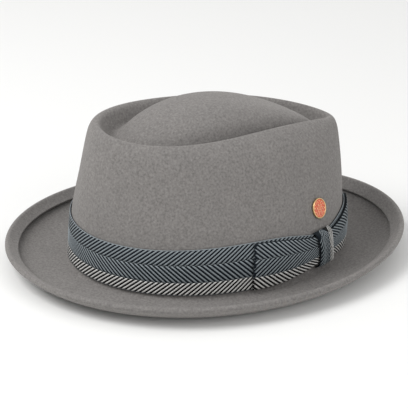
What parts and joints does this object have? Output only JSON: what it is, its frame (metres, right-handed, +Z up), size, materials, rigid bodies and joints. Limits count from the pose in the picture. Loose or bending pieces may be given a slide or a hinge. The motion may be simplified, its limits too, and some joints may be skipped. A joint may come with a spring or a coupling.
{
  "type": "pork pie hat",
  "caption": "Felt pork pie hat with a teardrop crown and turned-up brim, a herringbone ribbon band with a flat side bow, and a round enamel pin.",
  "frame": {"origin": "centre of the brim's outline, on the surface that the hat rests on", "axes": "+Z up through the crown, -Y towards the hat's front, +X towards the wearer's left, where the bow and the pin are"},
  "size_m": [0.2564, 0.3018, 0.12],
  "materials": {
    "felt": "matt wool felt, warm mid grey",
    "ribbon": "woven herringbone, blue-grey and off-white on near-black",
    "pin_metal": "polished",
    "enamel": "orange-red enamel over a metal lattice",
    "clutch_metal": "plain"
  },
  "bodies": {
    "root": {"felt_body": "felt", "hat_band": "ribbon", "bow_loops": "ribbon", "bow_knot": "ribbon", "pin_plate": "pin_metal", "pin_enamel": "enamel", "pin_clutch": "clutch_metal"}
  },
  "joints": []
}
